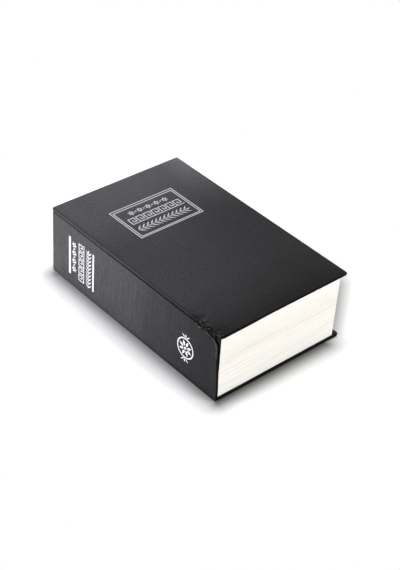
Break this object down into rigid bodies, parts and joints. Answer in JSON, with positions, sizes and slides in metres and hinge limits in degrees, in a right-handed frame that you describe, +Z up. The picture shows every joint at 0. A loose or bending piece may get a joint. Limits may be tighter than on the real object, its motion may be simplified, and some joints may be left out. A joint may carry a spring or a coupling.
{
  "type": "book diversion safe",
  "caption": "Black book-shaped case with off-white page sides; the front cover opens on a hinged, key-locked steel cash box hidden inside.",
  "frame": {"origin": "middle of the closed book's footprint, on the surface that it lies on", "axes": "+X from the spine to the fore-edge, +Y from the tail to the head, +Z up from the back cover to the front cover"},
  "size_m": [0.115, 0.18, 0.055],
  "materials": {
    "leatherette": "black leatherette, fine pebbled grain, satin",
    "greyboard": "binder's board, matte",
    "endpaper": "cream laid paper, matte",
    "pages": "off-white moulded plastic with fine page lines, matte",
    "box_steel": "black powder coat, fine texture, satin",
    "zinc_steel": "bright zinc plated, brushed",
    "lock_chrome": "polished chrome",
    "wafer_brass": "stamped brass, satin"
  },
  "bodies": {
    "book_case": {"spine_leatherette": "leatherette", "spine_board": "greyboard", "back_cover_leatherette": "leatherette", "back_cover_board": "greyboard", "back_cover_endpaper": "endpaper", "front_joint": "leatherette", "back_joint": "leatherette", "page_block": "pages", "box_tray": "box_steel", "hinge_tray_leaf": "zinc_steel", "hinge_pin": "zinc_steel", "tray_rivet_1": "zinc_steel", "tray_rivet_2": "zinc_steel", "tray_rivet_3": "zinc_steel", "tray_rivet_4": "zinc_steel", "lock_strike": "zinc_steel"},
    "front_cover": {"front_cover_leatherette": "leatherette", "front_cover_board": "greyboard", "front_cover_endpaper": "endpaper"},
    "box_lid": {"box_lid": "box_steel", "hinge_lid_leaf": "zinc_steel", "lid_rivet_1": "zinc_steel", "lid_rivet_2": "zinc_steel", "lid_rivet_3": "zinc_steel", "lid_rivet_4": "zinc_steel", "lock_housing": "lock_chrome", "lock_nut": "zinc_steel"},
    "lock_plug": {"lock_plug": "lock_chrome", "lock_cam": "zinc_steel", "cam_washer": "zinc_steel", "cam_screw": "zinc_steel", "lock_wafer_1": "wafer_brass", "lock_wafer_2": "wafer_brass", "lock_wafer_3": "wafer_brass", "lock_wafer_4": "wafer_brass"}
  },
  "joints": [
    {"name": "cover_hinge", "type": "hinge", "parent": "book_case", "child": "front_cover", "pos_m": [-0.05765, 0, 0.0516], "axis": [0, -1, 0], "range_deg": [0, 178], "deforming": ["front_joint"]},
    {"name": "lid_hinge", "type": "hinge", "parent": "book_case", "child": "box_lid", "pos_m": [-0.04394, 0, 0.04725], "axis": [0, -1, 0], "range_deg": [0, 105]},
    {"name": "lock_turn", "type": "hinge", "parent": "box_lid", "child": "lock_plug", "pos_m": [0.022, 0, 0.0492], "axis": [0, 0, 1], "range_deg": [0, 90]}
  ],
  "couplings": [
    {"joint": "lid_hinge", "follows": "cover_hinge", "ratio": 0.5898}
  ]
}
